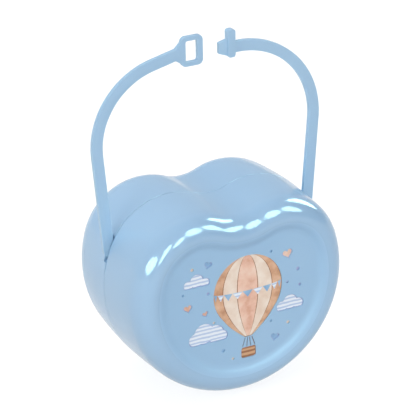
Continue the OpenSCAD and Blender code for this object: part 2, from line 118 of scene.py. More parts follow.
def outline(inset):
    """The outline of the case seen from the front, moved inward by an inset."""
    base, lobe, dip = OUTLINE_STEPS
    return (arc(0, BASE_Z, BASE_R - inset, LOBE_ANGLE, -180 - LOBE_ANGLE, base)
            + arc(-LOBE_X, LOBE_Z, LOBE_R - inset, 180 - LOBE_ANGLE, DIP_ANGLE, lobe)
            + arc(0, DIP_Z, DIP_R + inset, DIP_ANGLE - 180, -DIP_ANGLE, dip)
            + arc(LOBE_X, LOBE_Z, LOBE_R - inset, 180 - DIP_ANGLE, LOBE_ANGLE, lobe))


def edge_points(side, skin, step):
    """The rounded edge of a shell: an elliptical corner on the leaning side wall."""
    depth, reach, width = side["depth"], side["edge_depth"], side["edge_width"]
    points = []
    for i in range(int(90 / step) + 1):
        a = math.radians(i * step)
        t = depth - reach + (reach - skin) * math.sin(a)
        points.append((lean(t, side) + skin + (width - skin) * (1 - math.cos(a)), t))
    return points


def flank_points(side, skin, start, count=8):
    end = side["depth"] - side["edge_depth"]
    depths = [start + (end - start) * i / count for i in range(count)]
    return [(lean(t, side) + skin, t) for t in depths]


def rim_points(side):
    """The outer corner of a rim, rounded over a little where the two shells meet."""
    r = RIM_ROUNDING
    return [(r + x, HALF_GAP + r + y) for x, y in arc(0, 0, r, 270, 180, 4, first=True)]


FRONT_CREST = lean(FRONT_SIDE["depth"], FRONT_SIDE) + FRONT_SIDE["edge_width"]
COVE_ANGLE = math.degrees(math.acos(1 - PANEL_RECESS / (SHOULDER_R + COVE_R)))
PANEL_INSET = FRONT_CREST + (SHOULDER_R + COVE_R) * math.sin(math.radians(COVE_ANGLE))
PANEL_Y = FRONT_SIDE["depth"] - PANEL_RECESS
BACK_INSET = lean(REAR_SIDE["depth"], REAR_SIDE) + REAR_SIDE["edge_width"]
FLANK_START = HALF_GAP + RIM_ROUNDING + 0.4
INNER_COVE_END = 228    # degrees: where the cove's inner skin meets the inside of the edge


def front_outside():
    return (rim_points(FRONT_SIDE)
            + flank_points(FRONT_SIDE, 0, FLANK_START)
            + edge_points(FRONT_SIDE, 0, OUTER_STEP)
            + arc(FRONT_CREST, FRONT_SIDE["depth"] - SHOULDER_R, SHOULDER_R, 90, 90 - COVE_ANGLE, 9)
            + arc(PANEL_INSET, PANEL_Y + COVE_R, COVE_R, 270 - COVE_ANGLE, 270, 12)
            + [(PANEL_INSET + PANEL_FLAT, PANEL_Y)])


def front_inside():
    return ([(PANEL_INSET + PANEL_FLAT, PANEL_Y - WALL)]
            + arc(PANEL_INSET, PANEL_Y + COVE_R, COVE_R + WALL, 270, INNER_COVE_END, 6)
            + edge_points(FRONT_SIDE, WALL, INNER_STEP)[::-1]
            + flank_points(FRONT_SIDE, WALL, HALF_GAP)[::-1])


def rear_outside():
    return (rim_points(REAR_SIDE)
            + flank_points(REAR_SIDE, 0, FLANK_START)
            + edge_points(REAR_SIDE, 0, OUTER_STEP)
            + [(BACK_INSET + BACK_FLAT, REAR_SIDE["depth"])])


def rear_inside():
    return ([(BACK_INSET + BACK_FLAT, REAR_SIDE["depth"] - WALL)]
            + edge_points(REAR_SIDE, WALL, INNER_STEP)[::-1]
            + flank_points(REAR_SIDE, WALL, HALF_GAP)[::-1])


# ---------------------------------------- mesh helpers
def add_object(name, data):
    obj = bpy.data.objects.new(name, data)
    scene.collection.objects.link(obj)
    return obj


def make_object(name, vertices, faces, scale=MM):
    mesh = bpy.data.meshes.new(name)
    mesh.from_pydata([tuple(c * scale for c in v) for v in vertices], [], faces)
    mesh.validate()
    work = bmesh.new()
    work.from_mesh(mesh)
    bmesh.ops.recalc_face_normals(work, faces=work.faces)
    work.to_mesh(mesh)
    work.free()
    return add_object(name, mesh)


def loft(name, rings):
    """A run of rings, each a list of points of the same length, with both ends closed."""
    count = len(rings[0])
    vertices = [p for ring in rings for p in ring]
    faces = []
    for k in range(len(rings) - 1):
        for i in range(count):
            j = (i + 1) % count
            faces.append((k * count + i, k * count + j, (k + 1) * count + j, (k + 1) * count + i))
    faces.append(tuple(range(count)))
    faces.append(tuple(range((len(rings) - 1) * count, len(rings) * count)))
    return make_object(name, vertices, faces)


def shell(name, outside, inside, direction):
    """A shell swept round the outline: its outer skin, its rim and its inner skin."""
    section = inside + outside
    rings = [[(x, direction * t, z) for x, z in outline(u)] for u, t in section]
    return loft(name, rings)


def sweep(name, cx, cz, r, hollow, a0, a1, section, direction, steps=24):
    """A closed [inset, depth] section swept along a stretch of one arc."""
    rings = []
    for i in range(steps + 1):
        a = math.radians(a0 + (a1 - a0) * i / steps)
        ring = []
        for u, t in section:
            reach = r + u if hollow else r - u
            ring.append((cx + reach * math.cos(a), direction * t, cz + reach * math.sin(a)))
        rings.append(ring)
    return loft(name, rings)


def prism(name, points, near, far, direction=BACK):
    """A flat (x, z) polygon given a thickness along y."""
    rings = [[(x, direction * t, z) for x, z in points] for t in (near, far)]
    return loft(name, rings)


def across(name, points, x0, x1, direction):
    """A (depth, height) polygon given a width along x."""
    rings = [[(x, direction * t, z) for t, z in points] for x in (x0, x1)]
    return loft(name, rings)


def disc(cx, cz, r, steps=48):
    return arc(cx, cz, r, 0, 360, steps)


def apply_modifiers(obj):
    """Bakes an object's modifiers into its mesh."""
    graph = bpy.context.evaluated_depsgraph_get()
    mesh = bpy.data.meshes.new_from_object(obj.evaluated_get(graph))
    obj.modifiers.clear()
    old = obj.data
    obj.data = mesh
    bpy.data.meshes.remove(old)


def combine(obj, other, operation):
    """Cuts another object out of this one, or adds it, and deletes the other."""
    step = obj.modifiers.new("combine", "BOOLEAN")
    step.operation = operation
    step.solver = "EXACT"
    step.object = other
    bpy.context.view_layer.update()
    apply_modifiers(obj)
    bpy.data.objects.remove(other)
    return obj


def cut(obj, *others):
    for other in others:
        combine(obj, other, "DIFFERENCE")
    return obj


def join(name, parts):
    """Joins pieces of one moulding into one mesh."""
    work = bmesh.new()
    for part in parts:
        work.from_mesh(part.data)
        bpy.data.objects.remove(part)
    mesh = bpy.data.meshes.new(name)
    work.to_mesh(mesh)
    work.free()
    return add_object(name, mesh)


def tidy(obj, angle=32):
    """Merges doubled points and shades the surface smooth, with its corners kept sharp."""
    work = bmesh.new()
    work.from_mesh(obj.data)
    bmesh.ops.remove_doubles(work, verts=work.verts, dist=2e-7)
    work.to_mesh(obj.data)
    work.free()
    for polygon in obj.data.polygons:
        polygon.use_smooth = True
    obj.data.set_sharp_from_angle(angle=math.radians(angle))
    return obj


def soften(obj, width, segments=3, angle=40):
    """Rounds the sharp edges of a moulded piece."""
    work = bmesh.new()
    work.from_mesh(obj.data)
    bmesh.ops.remove_doubles(work, verts=work.verts, dist=1e-6)
    bmesh.ops.dissolve_limit(work, angle_limit=math.radians(1.0), verts=work.verts, edges=work.edges)
    work.to_mesh(obj.data)
    work.free()
    step = obj.modifiers.new("soften", "BEVEL")
    step.width = width * MM
    step.segments = segments
    step.limit_method = "ANGLE"
    step.angle_limit = math.radians(angle)
    step.use_clamp_overlap = True
    bpy.context.view_layer.update()
    apply_modifiers(obj)
    return obj


# ---------------------------------------- materials
def node_tree(name):
    material = bpy.data.materials.new(name)
    material.use_nodes = True
    nodes = material.node_tree.nodes
    return material, nodes, material.node_tree.links, nodes["Principled BSDF"]


def dial(node, values):
    """Sets sockets of a node to plain values."""
    for socket, value in values.items():
        node.inputs[socket].default_value = value


def colour_ramp(nodes, low, first, high, last):
    """A ramp from one colour at its low end to another at its high end."""
    ramp = nodes.new("ShaderNodeValToRGB")
    start, end = ramp.color_ramp.elements
    start.position, start.color = low, first
    end.position, end.color = high, last
    return ramp


def srgb(r, g, b):
    """A colour as a painter writes it, 0 to 255, turned into the linear values of the shader."""
    return tuple(((c / 255) / 12.92 if c / 255 <= 0.04045 else ((c / 255 + 0.055) / 1.055) ** 2.4)
                 for c in (r, g, b)) + (1.0,)


def noise_in_piece(nodes, links, scale, detail):
    """A noise that runs through the body of the piece."""
    place = nodes.new("ShaderNodeTexCoord")
    noise = nodes.new("ShaderNodeTexNoise")
    dial(noise, {"Scale": scale, "Detail": detail})
    links.new(place.outputs["Object"], noise.inputs["Vector"])
    return noise.outputs["Fac"]


def mottled(nodes, links, scale, detail, colours, low=0.35, high=0.65):
    """A soft mix of colours that follows a noise."""
    noise = noise_in_piece(nodes, links, scale, detail)
    ramp = colour_ramp(nodes, low, colours[0], high, colours[-1])
    for i, colour in enumerate(colours[1:-1]):
        middle = ramp.color_ramp.elements.new(low + (high - low) * (i + 1) / (len(colours) - 1))
        middle.color = colour
    links.new(noise, ramp.inputs["Fac"])
    return ramp.outputs["Color"]


def bump(nodes, links, shader, scale, strength, distance):
    """Small waves in the surface; the distance is in metres."""
    noise = noise_in_piece(nodes, links, scale, 2.0)
    lift = nodes.new("ShaderNodeBump")
    dial(lift, {"Strength": strength, "Distance": distance})
    links.new(noise, lift.inputs["Height"])
    links.new(lift.outputs["Normal"], shader.inputs["Normal"])


def moulded_plastic(name, light, dark, roughness, waviness, coat=0.3):
    """Glossy polypropylene: a little mottled, with the faint waves that moulding leaves."""
    material, nodes, links, shader = node_tree(name)
    links.new(mottled(nodes, links, 22, 3, [dark, light]), shader.inputs["Base Color"])
    dial(shader, {"Roughness": roughness, "IOR": 1.49, "Coat Weight": coat, "Coat Roughness": 0.06,
                  "Subsurface Weight": 0.12, "Subsurface Radius": (0.6, 0.8, 1.0),
                  "Subsurface Scale": 0.002})
    bump(nodes, links, shader, 90, waviness, 0.0002)
    return material


INK_GRAIN = (900, 0.15, 0.00005)


def ink(name, colours):
    """Printed colour with the cloudy washes of a painted picture."""
    material, nodes, links, shader = node_tree(name)
    links.new(mottled(nodes, links, 260, 4, colours, 0.3, 0.7), shader.inputs["Base Color"])
    dial(shader, {"Roughness": 0.35, "Coat Weight": 0.4, "Coat Roughness": 0.12})
    bump(nodes, links, shader, *INK_GRAIN)
    return material


def striped_ink(name, light, dark, pitch=1.5):
    """Painted stripes, a few to the centimetre, that waver like brush strokes."""
    material, nodes, links, shader = node_tree(name)
    place = nodes.new("ShaderNodeTexCoord")
    wave = nodes.new("ShaderNodeTexWave")
    wave.bands_direction = "Z"
    dial(wave, {"Scale": 1000 * math.pi / 10 / pitch, "Distortion": 1.6, "Detail": 2,
                "Detail Scale": 1.2})
    ramp = colour_ramp(nodes, 0.25, dark, 0.6, light)
    links.new(place.outputs["Object"], wave.inputs["Vector"])
    links.new(wave.outputs["Fac"], ramp.inputs["Fac"])
    links.new(ramp.outputs["Color"], shader.inputs["Base Color"])
    dial(shader, {"Roughness": 0.38})
    bump(nodes, links, shader, *INK_GRAIN)
    return material


def drawn_steel(name):
    """Bright drawn wire, with the fine marks that the die leaves."""
    material, nodes, links, shader = node_tree(name)
    links.new(mottled(nodes, links, 800, 2, [srgb(176, 180, 184), srgb(214, 217, 220)]),
              shader.inputs["Base Color"])
    dial(shader, {"Metallic": 1.0, "Roughness": 0.28})
    bump(nodes, links, shader, 2500, 0.1, 0.00002)
    return material


CASE_PLASTIC = moulded_plastic("case_plastic_gloss",
                               srgb(161, 193, 220), srgb(157, 190, 218), 0.12, 0.12)
STRAP_PLASTIC = moulded_plastic("strap_plastic_gloss",
                                srgb(165, 197, 222), srgb(160, 193, 219), 0.26, 0.1)
TRAY_PLASTIC = moulded_plastic("tray_plastic_satin",
                               srgb(166, 197, 221), srgb(160, 192, 218), 0.34, 0.2)
PANEL_PLASTIC = moulded_plastic("panel_plastic_satin",
                                srgb(161, 194, 222), srgb(156, 190, 219), 0.5, 0.2, coat=0.0)
PIN_STEEL = drawn_steel("pin_steel_drawn")
INKS = {
    "line_brown": ink("line_brown", [srgb(150, 98, 66), srgb(176, 122, 88)]),
    "wash_tan": ink("wash_tan", [srgb(196, 142, 106), srgb(219, 171, 136), srgb(229, 187, 155)]),
    "wash_cream": ink("wash_cream", [srgb(232, 206, 184), srgb(246, 230, 214)]),
    "wash_peach": ink("wash_peach", [srgb(222, 166, 140), srgb(238, 194, 170), srgb(244, 212, 192)]),
    "wash_blue": ink("wash_blue", [srgb(128, 168, 206), srgb(166, 199, 228)]),
    "wash_lilac": ink("wash_lilac", [srgb(150, 158, 200), srgb(178, 184, 220)]),
    "wash_stripe": striped_ink("wash_stripe", srgb(238, 243, 250), srgb(190, 206, 232)),
    "basket_weave": striped_ink("basket_weave", srgb(214, 166, 126), srgb(158, 106, 72), 1.9),
}


def inset_at(x, z):
    """How far inside the outline a place on the front lies, about."""
    from_dip = math.degrees(math.atan2(DIP_Z - z, abs(x)))
    from_lobe = math.degrees(math.atan2(z - LOBE_Z, abs(x) - LOBE_X))
    if z < DIP_Z and from_dip > DIP_ANGLE:
        return min(math.hypot(x, DIP_Z - z) - DIP_R, BASE_R - math.hypot(x, z - BASE_Z))
    if z > LOBE_Z and LOBE_ANGLE < from_lobe < 180 - DIP_ANGLE:
        return LOBE_R - math.hypot(abs(x) - LOBE_X, z - LOBE_Z)
    return BASE_R - math.hypot(x, z - BASE_Z)


def wear(obj, material):
    obj.data.materials.clear()
    obj.data.materials.append(material)
    return obj


# ---------------------------------------- shells
RECESS_X = math.sqrt(BASE_R ** 2 - (BASE_R - HINGE_Z - FOOT_CUT) ** 2) + BARREL_GAP
RELIEF_Y = HINGE_Z * math.tan(math.radians(OPEN_ANGLE / 2)) + BARREL_GAP
RECESS_TOP = HINGE_Z + KNUCKLE_R + BARREL_GAP
KNUCKLE_FLOOR = HINGE_Z - PIN_R - PIN_GAP - KNUCKLE_SKIN
KNUCKLE_END = math.sqrt(BASE_R ** 2 - (BASE_Z - KNUCKLE_FLOOR) ** 2)
KNUCKLE_PITCH = 2 * KNUCKLE_END / KNUCKLES


def foot_block():
    """What is cut off below the foot: a block wider and deeper than the case."""
    x, y, z = 60, 40, -10
    return prism("foot_block", [(-x, z), (x, z), (x, 0), (-x, 0)], -y, y)


def recess_blocks(direction):
    """The room for the knuckles under the foot, as two simple blocks.

    The second is a hair narrower, so that no two of their faces lie in one plane.
    """
    round_room = disc(0, HINGE_Z, KNUCKLE_R + BARREL_GAP)
    square_room = [(-1, -1), (RELIEF_Y, -1), (RELIEF_Y, HINGE_Z), (-1, HINGE_Z)]
    hair = 0.01
    return (across("barrel_room", round_room, -RECESS_X, RECESS_X, direction),
            across("edge_room", square_room, -RECESS_X + hair, RECESS_X - hair, direction))


def round_case(inset):
    """The case's big arc as a disc, deeper than the case."""
    y = 50
    return prism("round_case", disc(0, BASE_Z, BASE_R - inset, 240), -y, y)


def hinge_cover(direction):
    """The block inside the foot that closes a shell above the hinge."""
    reach = RECESS_X + WALL
    block = across("hinge_cover", [
        (HALF_GAP, 0.0), (RELIEF_Y + WALL, 0.0), (RELIEF_Y + WALL, HINGE_Z + KNUCKLE_R / 2 + WALL),
        (KNUCKLE_R + WALL, RECESS_TOP + WALL), (HALF_GAP, RECESS_TOP + WALL)], -reach, reach, direction)
    combine(block, round_case(WALL / 2), "INTERSECT")
    return cut(block, *recess_blocks(direction))


def knuckle(index, direction):
    """One knuckle of the hinge with the web that carries it."""
    x0 = (index - KNUCKLES / 2) * KNUCKLE_PITCH + KNUCKLE_GAP / 2
    x1 = x0 + KNUCKLE_PITCH - KNUCKLE_GAP
    barrel = across("barrel", disc(0, HINGE_Z, KNUCKLE_R), x0, x1, direction)
    low, far = HINGE_Z - KNUCKLE_R, RELIEF_Y + WALL / 2
    web = across("web", [(0, low), (far, low), (far, HINGE_Z), (0, HINGE_Z)], x0, x1, direction)
    combine(barrel, web, "UNION")
    combine(barrel, round_case(0.02), "INTERSECT")
    return soften(barrel, 0.12, 2)


def lip_runs(grow):
    """The stretches of the outline that carry the lip: centre, radius, hollow, angles."""
    return [
        (LOBE_X, LOBE_Z, LOBE_R, False, LIP_FROM - grow, LIP_TO + grow),
        (-LOBE_X, LOBE_Z, LOBE_R, False, 180 - LIP_TO - grow, 180 - LIP_FROM + grow),
        (0, DIP_Z, DIP_R, True, -90 - LIP_DIP - grow, -90 + LIP_DIP + grow),
        (0, BASE_Z, BASE_R, False, LIP_LOW - grow, LIP_HIGH + grow),
        (0, BASE_Z, BASE_R, False, 180 - LIP_HIGH - grow, 180 - LIP_LOW + grow),
    ]


# Where the straps pass the front rim, which is eased there: centre, radius and angles of each arc.
# The arcs on a lobe and on the base overlap a little.
STRAP_RELIEF = 0.55
STRAP_PASSES = [
    (LOBE_X, LOBE_Z, LOBE_R, LOBE_ANGLE - 0.5, 40),
    (-LOBE_X, LOBE_Z, LOBE_R, 140, 180.5 - LOBE_ANGLE),
    (0, BASE_Z, BASE_R, 9, LOBE_ANGLE + 0.3),
    (0, BASE_Z, BASE_R, 179.7 - LOBE_ANGLE, 171),
]


def latch_tab():
    """The bent snap tab: its root inside the front wall, its bead behind the seam."""
    near = WALL + LATCH_CLEAR
    far = near + LATCH_T
    section = [(WALL / 2, LATCH_ROOT), (WALL / 2, LATCH_START), (near, -HALF_GAP),
               (near, 2 * LATCH_BEAD - BEAD_Y), (near - LATCH_BEAD, -BEAD_Y),
               (near - LATCH_BEAD, -BEAD_Y - LATCH_BEAD), (near + LATCH_BEAD, -LATCH_REACH),
               (far, -LATCH_REACH), (far, LATCH_ROOT - LATCH_T)]
    return sweep("latch_tab", 0, DIP_Z, DIP_R, True, -90 - LATCH_ANGLE, -90 + LATCH_ANGLE,
                 section, FRONT)


def front_case():
    """The parts of the front moulding, its relief for the straps and its pockets cut."""
    body = shell("front_body", front_outside(), front_inside(), FRONT)
    cut(body, foot_block(), *recess_blocks(FRONT), pockets())
    out, near = -0.3, -0.5
    relief = [(out, near), (STRAP_RELIEF, near), (0.1, STRAP_RELIEF), (out, STRAP_RELIEF)]
    for cx, cz, r, a0, a1 in STRAP_PASSES:
        cut(body, sweep("relief", cx, cz, r, False, a0, a1, relief, FRONT))
    outer, inner, root = WALL / 2 + LIP_GAP, WALL - LIP_GAP, 1
    lip = [(outer, -LIP_H), (inner, -LIP_H), (inner, root), (outer, root)]
    parts = [body, hinge_cover(FRONT), latch_tab()]
    parts += [sweep("lip", *run, lip, FRONT) for run in lip_runs(0)]
    parts += [knuckle(i, FRONT) for i in (1, 3)]
    return parts


def side_x(z, inset):
    """Distance from the middle to a lobe's side at a height."""
    return LOBE_X + math.sqrt((LOBE_R - inset) ** 2 - (z - LOBE_Z) ** 2)


def strap_column(side):
    """Column, peg and staked head that hold the eye of a strap."""
    r = COLUMN_R
    end = REAR_SIDE["depth"] - COLUMN_SHORT
    inset = lean(end, REAR_SIDE) + WALL / 6
    steps = 8
    heights = [PEG_Z - r + 2 * r * i / steps for i in range(steps + 1)]
    wall_side = [(side_x(z, inset), z) for z in heights]
    plan = [(side * x, z) for x, z in wall_side + arc(PEG_X, PEG_Z, r, 90, 270, 24)]
    column = prism("column", plan, SLOT_T, end)
    peg = prism("peg", disc(side * PEG_X, PEG_Z, PEG_R), -HEAD_T / 2, SLOT_T + 1)
    head = soften(prism("head", disc(side * PEG_X, PEG_Z, HEAD_R), -HEAD_T, 0), 0.25, 3)
    return [column, peg, head]


def strap_slot(side, root):
    """The opening in the rear rim where a strap comes out and swings, as one convex block."""
    corners = []
    lean_by = math.radians(-STRAP_LEAN)
    for swing in SLOT_SWINGS:
        turn = math.radians(swing)
        for dx in (-BAND_W / 2 - SLOT_SIDE, BAND_W / 2 + SLOT_SIDE):
            for dz in (-SLOT_BELOW, SLOT_ABOVE):
                x = root - PEG_X + dx * math.cos(lean_by) - dz * math.sin(lean_by)
                z = ROOT_Z - PEG_Z + dx * math.sin(lean_by) + dz * math.cos(lean_by)
                corners.append((PEG_X + x * math.cos(turn) - z * math.sin(turn),
                                PEG_Z + x * math.sin(turn) + z * math.cos(turn)))
    work = bmesh.new()
    for x, z in corners:
        for t in (-1, SLOT_T):
            work.verts.new((side * x * MM, t * MM, z * MM))
    bmesh.ops.convex_hull(work, input=work.verts)
    mesh = bpy.data.meshes.new("strap_slot")
    work.to_mesh(mesh)
    work.free()
    return add_object("strap_slot", mesh)


def rear_case():
    """The parts of the rear moulding, its rebate, slots and groove cut."""
    body = shell("rear_body", rear_outside(), rear_inside(), BACK)
    outer, inner, depth = WALL / 2, WALL / 2 + WALL, LIP_H + LIP_FREE
    rebate = [(outer, -1), (inner, -1), (inner, depth), (outer, depth)]
    cut(body, foot_block(), *recess_blocks(BACK))
    cut(body, *[sweep("rebate", *run, rebate, BACK) for run in lip_runs(LIP_ENDS)])
    cut(body, strap_slot(-1, root_x(LOOP_BEND)), strap_slot(1, root_x(HOOK_BEND)))
    near = BEAD_Y - LATCH_BEAD
    far = near + 3 * LATCH_BEAD
    outer, inner = WALL - LATCH_BEAD, 2 * WALL - LATCH_BEAD
    groove = [(outer, near), (inner, near), (inner, far), (outer, far)]
    cut(body, sweep("groove", 0, DIP_Z, DIP_R, True, -91 - LATCH_ANGLE, -89 + LATCH_ANGLE,
                    groove, BACK))
    parts = [body, hinge_cover(BACK)]
    for side in (-1, 1):
        parts += strap_column(side)
    for x in (-POST_X, POST_X):
        for z in (POST_LOW, POST_HIGH):
            post = prism("post", disc(x, z, POST_R), TRAY_Y + TRAY_T, REAR_SIDE["depth"] - WALL / 2)
            parts.append(soften(post, 0.2))
    parts += [knuckle(i, BACK) for i in (0, 2, 4)]
    return parts


# ---------------------------------------- straps
def root_x(bend):
    """Where the middle of a strap's band stands at the height of its root."""
    x, z, r, _ = bend
    a = math.radians(STRAP_LEAN)
    return x + r * math.cos(a) - (z - r * math.sin(a) - ROOT_Z) * math.tan(a)


def band_edge(bend, link, side):
    """One edge of a band: straight up, round the bend and straight on over a link."""
    x, z, r, end = bend
    reach = r + side * BAND_W / 2
    c, s = math.cos(math.radians(end)), math.sin(math.radians(end))
    return ([(root_x(bend) + side * BAND_W / 2, ROOT_Z)]
            + arc(x, z, reach, -STRAP_LEAN, end, 72, first=True)
            + [(x + reach * c - link * s, z + reach * s + link * c)])


def band(bend, link, mirror):
    """The flat band of a strap with the eye at its foot, as parts to be fused."""
    outer = root_x(bend) + BAND_W / 2
    strip = band_edge(bend, link, 1) + band_edge(bend, link, -1)[::-1]
    neck = [(outer - BAND_W, ROOT_Z + 0.5), (outer - 0.2, ROOT_Z + 0.5), (outer - 0.2, ROOT_Z - 0.8),
            (PEG_X + EYE_R + 0.3, PEG_Z + 2)]
    neck += [(PEG_X + EYE_R * math.cos(math.radians(a)), PEG_Z + EYE_R * math.sin(math.radians(a)))
             for a in (10, 150)]
    return [prism("band", [(mirror * x, z) for x, z in plan], BAND_NEAR, BAND_FAR)
            for plan in (strip, neck, disc(PEG_X, PEG_Z, EYE_R))]


def rounded(cx, cz, w, h, r):
    """A rectangle with rounded corners."""
    points = []
    for sx, sz, start in ((1, 1, 0), (-1, 1, 90), (-1, -1, 180), (1, -1, 270)):
        x, z = cx + sx * (w / 2 - r), cz + sz * (h / 2 - r)
        points += arc(x, z, r, start, start + 90, 8, first=True)
    return points


def fuse(parts):
    body = parts[0]
    for other in parts[1:]:
        combine(body, other, "UNION")
    return body


def through(name, points):
    """A cutter that passes right through a strap."""
    return prism(name, points, -2, 5)


def loop_strap():
    """The left strap: its band flares into a rectangular loop."""
    x, z, r, degrees = LOOP_BEND
    end = math.radians(degrees)
    edge = LOOP_X + LOOP_W
    tip_x, tip_z = x + r * math.cos(end), z + r * math.sin(end)
    link = (tip_x - edge) / math.sin(end) + 1
    neck_x = edge + LOOP_FLARE
    neck_z = tip_z + (tip_x - neck_x) / math.tan(end)
    half = LOOP_H / 2 - 0.9
    loop = prism("loop", rounded(-LOOP_X - LOOP_W / 2, CLASP_Z, LOOP_W, LOOP_H, LOOP_CORNER),
                 BAND_NEAR, BAND_FAR)
    flare = prism("flare", [(-neck_x, neck_z - BAND_W / 2), (-neck_x, neck_z + BAND_W / 2),
                            (1 - edge, CLASP_Z + half), (1 - edge, CLASP_Z - half)],
                  BAND_NEAR, BAND_FAR)
    body = fuse(band(LOOP_BEND, link, -1) + [loop, flare])
    hole_x = -LOOP_X - LOOP_BAR - HOLE_W / 2
    cut(body, through("hole", rounded(hole_x, CLASP_Z, HOLE_W, HOLE_H, HOLE_CORNER)))
    cut(body, through("eye", disc(-PEG_X, PEG_Z, PEG_R + PEG_GAP)))
    return soften(body, 0.32)


def hook_strap():
    """The right strap: its band ends in a cross bar with a nose that points to the loop."""
    root = NOSE_X + NOSE_L
    half = NOSE_H / 2
    nose = prism("nose", [(NOSE_X, CLASP_Z + half - NOSE_DROP), (NOSE_X, CLASP_Z - half - NOSE_DROP),
                          (root + 1, CLASP_Z - CROSS_H / 2 + 0.3), (root + 1, CLASP_Z + half)],
                 BAND_NEAR, BAND_FAR)
    middle = (BAND_NEAR + BAND_FAR) / 2
    cross = prism("bar", rounded(root + CROSS_W / 2, CLASP_Z, CROSS_W, CROSS_H, CROSS_CORNER),
                  middle - CROSS_T / 2, middle + CROSS_T / 2)
    body = fuse(band(HOOK_BEND, 0.2, 1) + [nose, cross])
    cut(body, through("eye", disc(PEG_X, PEG_Z, PEG_R + PEG_GAP)))
    return soften(body, 0.32)


# ---------------------------------------- tray
TRAY_INSET = WALL + lean(TRAY_Y + TRAY_T, REAR_SIDE) + TRAY_GAP


def tray_plan(inset, grow):
    """The outline of the tray, notched round the two strap columns."""
    r = COLUMN_R + grow
    points = [(x, z) for x, z in outline(inset) if abs(z - PEG_Z) >= r or abs(x) <= PEG_X - 2]
    notch = arc(PEG_X, PEG_Z, r, 90, 270, 16, first=True)
    result = []
    for i, (x, z) in enumerate(points):
        result.append((x, z))
        next_z = points[(i + 1) % len(points)][1]
        if abs(next_z - z) > 2 * r - 1.5:    # the gap that a column leaves in the outline
            side = 1 if x > 0 else -1
            result += [(side * nx, nz) for nx, nz in (notch if z > next_z else notch[::-1])]
    return result


def drain_places():
    """Where drain holes fit on the tray: clear of the edge, the ring, the grip and the columns."""
    margin = TRAY_INSET + TRAY_RIM + DRAIN_D
    rows, columns = 8, 7
    places = []
    for j in range(-rows, rows + 1):
        for i in range(-columns, columns + 1):
            x = (i + (0 if j % 2 == 0 else 0.5)) * DRAIN_PITCH
            z = CRADLE_Z + j * DRAIN_PITCH * math.sin(math.radians(60))
            if z < LOBE_Z:
                inside = math.hypot(x, z - BASE_Z) < BASE_R - margin
            else:
                inside = math.hypot(abs(x) - LOBE_X, z - LOBE_Z) < LOBE_R - margin
            off_ring = abs(math.hypot(x, z - CRADLE_Z) - CRADLE_R) > DRAIN_D
            off_grip = abs(z - GRIP_Z) > DRAIN_D
            off_column = math.hypot(abs(x) - PEG_X, z - PEG_Z) > COLUMN_R + DRAIN_D + 2
            if inside and off_ring and off_grip and off_column:
                places.append((x, z))
    return places


def flat_curve(name, loops, near, far, bevel):
    """Closed loops filled as a flat plate with rounded edges; inner loops are holes."""
    curve = bpy.data.curves.new(name, "CURVE")
    curve.dimensions = "2D"
    curve.fill_mode = "BOTH"
    curve.extrude = ((far - near) / 2 - bevel) * MM
    curve.bevel_depth = bevel * MM
    curve.bevel_resolution = 2
    curve.offset = -bevel * MM
    for loop_points in loops:
        spline = curve.splines.new("POLY")
        spline.points.add(len(loop_points) - 1)
        for point, (x, z) in zip(spline.points, loop_points):
            point.co = (x * MM, z * MM, 0, 1)
        spline.use_cyclic_u = True
    source = add_object(name, curve)
    bpy.context.view_layer.update()
    mesh = bpy.data.meshes.new_from_object(source.evaluated_get(bpy.context.evaluated_depsgraph_get()))
    bpy.data.objects.remove(source)
    bpy.data.curves.remove(curve)
    # the curve lies in its own x-y plane: y becomes height, and its thickness becomes depth
    move = Matrix.Translation((0, (near + far) / 2 * MM, 0))
    mesh.transform(move @ Matrix.Rotation(math.radians(90), 4, "X"))
    return add_object(name, mesh)


def soother_tray():
    """The tray's plate, edge, cradle ring and grip; the last three end inside the plate."""
    holes = [disc(x, z, DRAIN_D / 2, 24) for x, z in drain_places()]
    plan = tray_plan(TRAY_INSET, TRAY_GAP)
    plate = flat_curve("tray_floor", [plan] + holes, TRAY_Y, TRAY_Y + TRAY_T, 0.25)
    inner = tray_plan(TRAY_INSET + TRAY_RIM, TRAY_GAP + TRAY_RIM)
    inside = TRAY_Y + TRAY_T / 2
    edge = flat_curve("tray_edge", [plan, inner], TRAY_Y - TRAY_EDGE, inside, 0.3)
    rings = [disc(0, CRADLE_Z, CRADLE_R + side * CRADLE_T / 2, 96) for side in (1, -1)]
    ring = flat_curve("cradle", rings, TRAY_Y - CRADLE_H, inside, 0.3)
    grip = flat_curve("grip", [rounded(0, GRIP_Z, GRIP_W, GRIP_T, 0.9)], TRAY_Y - GRIP_H, inside, 0.4)
    return [plate, edge, ring, grip]


# ---------------------------------------- picture on the panel
# A nursery picture, sunk a little into the panel: a balloon, clouds, hearts and dots. Places are
# (x, z) on the panel. Depths below its face: of the pockets, and of the flats of colour, which are
# the grounds, the washes over them and the small marks on the washes. All flats start at INLAY_FOOT,
# inside the wall.
SINK, BASE_TOP, WASH_TOP, INLAY_FOOT = 0.5, 0.42, 0.36, 1.2
MARK_TOP = WASH_TOP - 0.06
EDGE_W = 0.22    # how much of a brown ground shows round a wash
